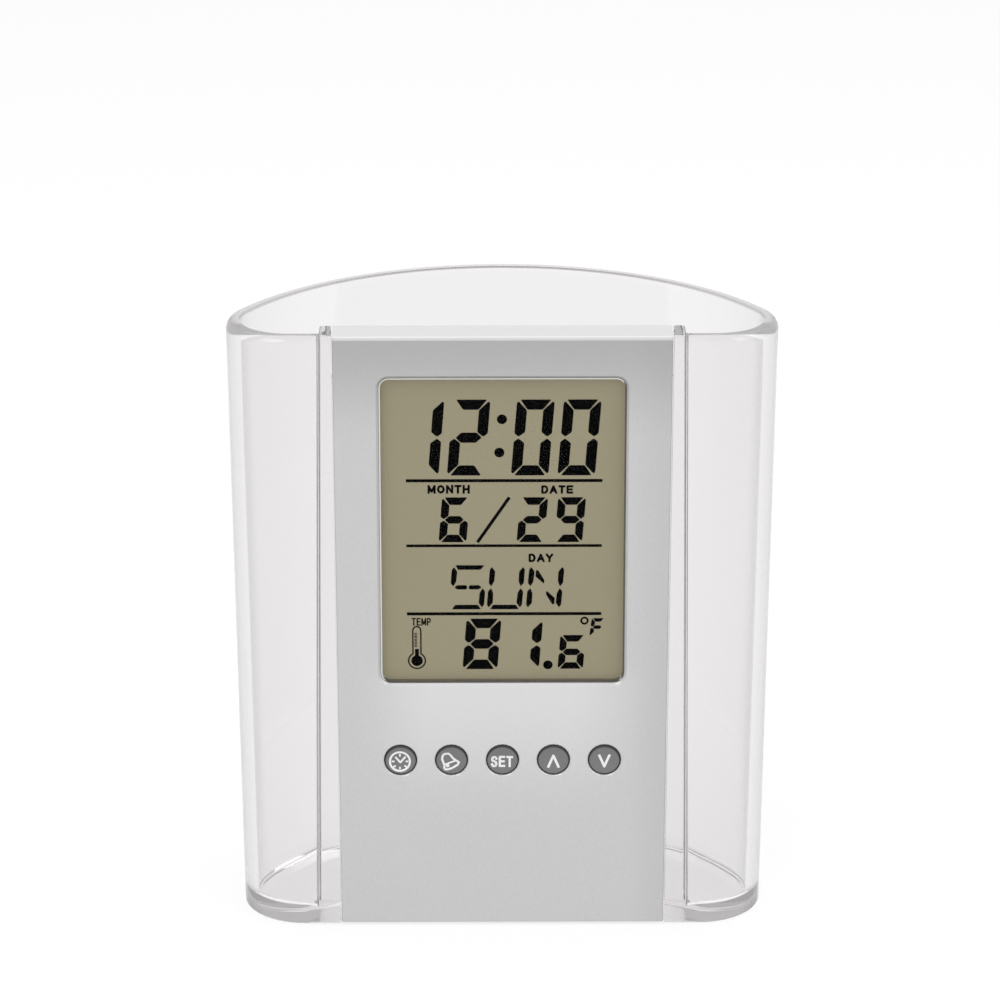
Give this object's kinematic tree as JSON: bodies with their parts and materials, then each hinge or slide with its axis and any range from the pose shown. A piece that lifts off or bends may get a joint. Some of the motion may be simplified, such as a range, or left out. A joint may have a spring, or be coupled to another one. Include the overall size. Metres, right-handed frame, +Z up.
{
  "type": "pen holder clock",
  "caption": "Clear half-oval desk pen cup whose flat front is a lift-out silver clock module with a tall calendar, clock and temperature display above a row of round keys.",
  "frame": {"origin": "on the table, under the middle of the cup's bounding box", "axes": "+Z up, the display and keys face -Y, +X to the right of someone reading the display"},
  "size_m": [0.104, 0.0474, 0.12],
  "materials": {
    "clear_cup": "clear polished polystyrene",
    "silver_case": "satin silver paint on plastic",
    "key_caps": "matt grey with white printed signs",
    "clear_window": "clear polished acrylic",
    "lcd_glass": "thin display glass",
    "lcd_film": "grey-green reflective film",
    "holder_plastic": "white moulded plastic",
    "rubber": "grey silicone rubber",
    "board": "green lacquered circuit board",
    "epoxy": "black epoxy",
    "ceramic": "tan fired ceramic",
    "steel": "nickel-plated steel",
    "brass": "thin brass disc",
    "lead_red": "red lead insulation",
    "lead_black": "black lead insulation"
  },
  "bodies": {
    "cup": {"cup": "clear_cup"},
    "clock_module": {"front_panel": "silver_case", "rear_housing": "silver_case", "display_window": "clear_window", "lcd_front_glass": "lcd_glass", "lcd_back_glass": "lcd_glass", "lcd_reflector": "lcd_film", "lcd_holder": "holder_plastic", "contact_strip": "rubber", "circuit_board": "board", "chip_cover": "epoxy", "crystal": "steel", "thermistor": "epoxy", "key_mat": "rubber", "coin_cell": "steel", "positive_contact": "steel", "negative_contact": "steel", "buzzer": "brass", "buzzer_lead_red": "lead_red", "buzzer_lead_black": "lead_black", "capacitor_1": "ceramic", "capacitor_2": "ceramic", "capacitor_3": "ceramic", "housing_screw_1": "steel", "housing_screw_2": "steel", "housing_screw_3": "steel", "housing_screw_4": "steel", "board_screw_1": "steel", "board_screw_2": "steel"},
    "battery_door": {"battery_door": "silver_case"},
    "key_clock": {"key_clock": "key_caps"},
    "key_alarm": {"key_alarm": "key_caps"},
    "key_set": {"key_set": "key_caps"},
    "key_up": {"key_up": "key_caps"},
    "key_down": {"key_down": "key_caps"}
  },
  "joints": [
    {"name": "module_slide", "type": "slide", "parent": "cup", "child": "clock_module", "axis": [0, 0, 1], "range_m": [0, 0.125]},
    {"name": "battery_door_hinge", "type": "hinge", "parent": "clock_module", "child": "battery_door", "pos_m": [0, -0.017, 0.0276], "axis": [1, 0, 0], "range_deg": [0, 90]},
    {"name": "key_clock_press", "type": "slide", "parent": "clock_module", "child": "key_clock", "axis": [0, 1, 0], "range_m": [0, 0.0006], "stiffness_N_per_m": 300, "deforming": ["key_mat"]},
    {"name": "key_alarm_press", "type": "slide", "parent": "clock_module", "child": "key_alarm", "axis": [0, 1, 0], "range_m": [0, 0.0006], "stiffness_N_per_m": 300, "deforming": ["key_mat"]},
    {"name": "key_set_press", "type": "slide", "parent": "clock_module", "child": "key_set", "axis": [0, 1, 0], "range_m": [0, 0.0006], "stiffness_N_per_m": 300, "deforming": ["key_mat"]},
    {"name": "key_up_press", "type": "slide", "parent": "clock_module", "child": "key_up", "axis": [0, 1, 0], "range_m": [0, 0.0006], "stiffness_N_per_m": 300, "deforming": ["key_mat"]},
    {"name": "key_down_press", "type": "slide", "parent": "clock_module", "child": "key_down", "axis": [0, 1, 0], "range_m": [0, 0.0006], "stiffness_N_per_m": 300, "deforming": ["key_mat"]}
  ]
}
